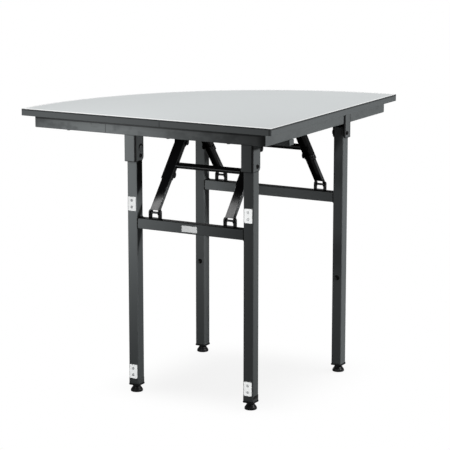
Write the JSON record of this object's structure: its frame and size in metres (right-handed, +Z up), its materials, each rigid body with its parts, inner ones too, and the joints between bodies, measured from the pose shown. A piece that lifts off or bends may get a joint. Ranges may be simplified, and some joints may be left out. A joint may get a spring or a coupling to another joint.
{
  "type": "quarter-round folding table",
  "caption": "Quarter-round folding table: laminated top on a welded tube frame, with two fold-flat leg frames on jointed braces and levelling glides.",
  "frame": {"origin": "on the floor, below the middle of the square that the top fits in", "axes": "+Z up; +X along the front straight edge towards the square corner; +Y from the front straight edge to the back"},
  "size_m": [0.76, 0.76, 0.755],
  "materials": {
    "laminate": "pale grey high-pressure laminate, satin",
    "board": "particle board with a plain backing sheet",
    "edge_band": "charcoal plastic edge band, satin",
    "powder_coat": "charcoal powder coat on steel tube and sheet",
    "black_enamel": "glossy black enamel on pressed steel",
    "fastener_steel": "black oxide steel",
    "wear_pad": "white moulded plastic",
    "bumper_rubber": "black rubber",
    "black_plastic": "black moulded plastic",
    "glide_plastic": "black moulded plastic"
  },
  "bodies": {
    "table": {"arc_rail": "powder_coat", "back_brace_rail": "powder_coat", "back_hanger_pins": "black_enamel", "back_left_bracket": "powder_coat", "back_left_hanger": "black_enamel", "back_right_bracket": "powder_coat", "back_right_hanger": "black_enamel", "edge_band": "edge_band", "frame_screws": "fastener_steel", "front_brace_rail": "powder_coat", "front_hanger_pins": "black_enamel", "front_left_bracket": "powder_coat", "front_left_hanger": "black_enamel", "front_rail": "powder_coat", "front_right_bracket": "powder_coat", "front_right_hanger": "black_enamel", "laminate_sheet": "laminate", "leg_pivot_bolts": "fastener_steel", "leg_pivot_nuts": "fastener_steel", "side_rail": "powder_coat", "tabletop_core": "board"},
    "back_legs": {"back_clevis_pins": "black_enamel", "back_cross_rail": "powder_coat", "back_left_bumper": "bumper_rubber", "back_left_cap": "black_plastic", "back_left_clevis": "black_enamel", "back_left_leg": "powder_coat", "back_right_bumper": "bumper_rubber", "back_right_cap": "black_plastic", "back_right_clevis": "black_enamel", "back_right_leg": "powder_coat"},
    "back_upper_brace": {"back_knee_rivets": "black_enamel", "back_left_upper_link": "black_enamel", "back_right_upper_link": "black_enamel", "back_tie_bar": "black_enamel"},
    "back_lower_brace": {"back_left_lower_link": "black_enamel", "back_right_lower_link": "black_enamel"},
    "front_legs": {"front_clevis_pins": "black_enamel", "front_cross_rail": "powder_coat", "front_left_cap": "black_plastic", "front_left_clevis": "black_enamel", "front_left_leg": "powder_coat", "front_left_lower_pad": "wear_pad", "front_left_upper_pad": "wear_pad", "front_right_cap": "black_plastic", "front_right_clevis": "black_enamel", "front_right_leg": "powder_coat", "front_right_lower_pad": "wear_pad", "front_right_upper_pad": "wear_pad", "pad_screws": "fastener_steel"},
    "front_upper_brace": {"front_knee_rivets": "black_enamel", "front_left_upper_link": "black_enamel", "front_right_upper_link": "black_enamel", "front_tie_bar": "black_enamel"},
    "front_lower_brace": {"front_left_lower_link": "black_enamel", "front_right_lower_link": "black_enamel"},
    "back_left_glide": {"back_left_glide": "glide_plastic"},
    "back_right_glide": {"back_right_glide": "glide_plastic"},
    "front_left_glide": {"front_left_glide": "glide_plastic"},
    "front_right_glide": {"front_right_glide": "glide_plastic"}
  },
  "joints": [
    {"name": "back_leg_fold", "type": "hinge", "parent": "table", "child": "back_legs", "pos_m": [0.1106, 0.125, 0.676], "axis": [-1, 0, 0], "range_deg": [0, 88]},
    {"name": "back_upper_brace_swing", "type": "hinge", "parent": "table", "child": "back_upper_brace", "pos_m": [0.1106, -0.015, 0.697], "axis": [-1, 0, 0], "range_deg": [-60.4, 0]},
    {"name": "back_lower_brace_swing", "type": "hinge", "parent": "back_legs", "child": "back_lower_brace", "pos_m": [0.1106, 0.125, 0.527], "axis": [-1, 0, 0], "range_deg": [0, 19.8]},
    {"name": "front_leg_fold", "type": "hinge", "parent": "table", "child": "front_legs", "pos_m": [0.116, -0.32, 0.646], "axis": [1, 0, 0], "range_deg": [0, 88]},
    {"name": "front_upper_brace_swing", "type": "hinge", "parent": "table", "child": "front_upper_brace", "pos_m": [0.116, -0.18, 0.667], "axis": [1, 0, 0], "range_deg": [-60.4, 0]},
    {"name": "front_lower_brace_swing", "type": "hinge", "parent": "front_legs", "child": "front_lower_brace", "pos_m": [0.116, -0.32, 0.497], "axis": [1, 0, 0], "range_deg": [0, 19.8]},
    {"name": "back_left_glide_level", "type": "slide", "parent": "back_legs", "child": "back_left_glide", "axis": [0, 0, -1], "range_m": [0, 0.01]},
    {"name": "back_right_glide_level", "type": "slide", "parent": "back_legs", "child": "back_right_glide", "axis": [0, 0, -1], "range_m": [0, 0.01]},
    {"name": "front_left_glide_level", "type": "slide", "parent": "front_legs", "child": "front_left_glide", "axis": [0, 0, -1], "range_m": [0, 0.01]},
    {"name": "front_right_glide_level", "type": "slide", "parent": "front_legs", "child": "front_right_glide", "axis": [0, 0, -1], "range_m": [0, 0.01]}
  ],
  "couplings": [
    {"joint": "back_upper_brace_swing", "follows": "back_leg_fold", "ratio": -0.68568},
    {"joint": "back_lower_brace_swing", "follows": "back_leg_fold", "ratio": 0.22474},
    {"joint": "front_leg_fold", "follows": "back_leg_fold", "ratio": 1},
    {"joint": "front_upper_brace_swing", "follows": "back_leg_fold", "ratio": -0.68568},
    {"joint": "front_lower_brace_swing", "follows": "back_leg_fold", "ratio": 0.22474}
  ]
}
